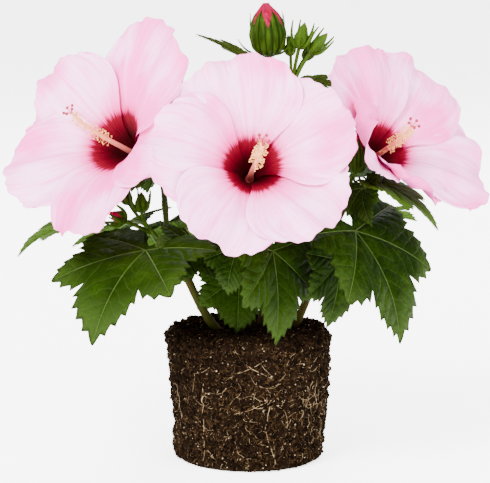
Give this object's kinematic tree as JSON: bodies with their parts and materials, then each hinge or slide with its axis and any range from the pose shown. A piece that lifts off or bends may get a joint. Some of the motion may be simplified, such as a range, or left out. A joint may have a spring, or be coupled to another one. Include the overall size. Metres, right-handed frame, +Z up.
{
  "type": "hibiscus shrub",
  "caption": "Young hardy hibiscus with large pale pink blooms, buds and lobed leaves, standing on its bare root ball.",
  "frame": {"origin": "centre of the root ball's flat underside", "axes": "+Z up the plant, -Y towards the front, where the blooms face, and +X to the right as seen from the front"},
  "size_m": [0.4096, 0.2885, 0.388],
  "materials": {
    "soil": "matt",
    "stem": "satin",
    "leaf": "satin",
    "bud": "satin",
    "petal": "matt",
    "column": "matt"
  },
  "bodies": {
    "root": {"root_ball": "soil", "back_left_stem": "stem", "back_right_stem": "stem", "front_stem": "stem", "left_stem": "stem", "middle_stem": "stem", "right_stem": "stem", "back_left_foliage": "leaf", "back_right_foliage": "leaf", "front_foliage": "leaf", "left_front_foliage": "leaf", "left_outer_foliage": "leaf", "middle_foliage": "leaf", "right_front_foliage": "leaf", "right_outer_foliage": "leaf", "top_foliage": "leaf", "top_right_foliage": "leaf", "upper_left_foliage": "leaf", "upper_right_foliage": "leaf", "bud_cluster": "bud", "front_bloom_calyx": "bud", "left_bloom_calyx": "bud", "left_buds": "bud", "right_bloom_calyx": "bud", "right_bud": "bud", "top_bud": "bud", "front_bloom_petal_1": "petal", "front_bloom_petal_2": "petal", "front_bloom_petal_3": "petal", "front_bloom_petal_4": "petal", "front_bloom_petal_5": "petal", "left_bloom_petal_1": "petal", "left_bloom_petal_2": "petal", "left_bloom_petal_3": "petal", "left_bloom_petal_4": "petal", "left_bloom_petal_5": "petal", "right_bloom_petal_1": "petal", "right_bloom_petal_2": "petal", "right_bloom_petal_3": "petal", "right_bloom_petal_4": "petal", "right_bloom_petal_5": "petal", "front_bloom_column": "column", "left_bloom_column": "column", "right_bloom_column": "column"}
  },
  "joints": []
}
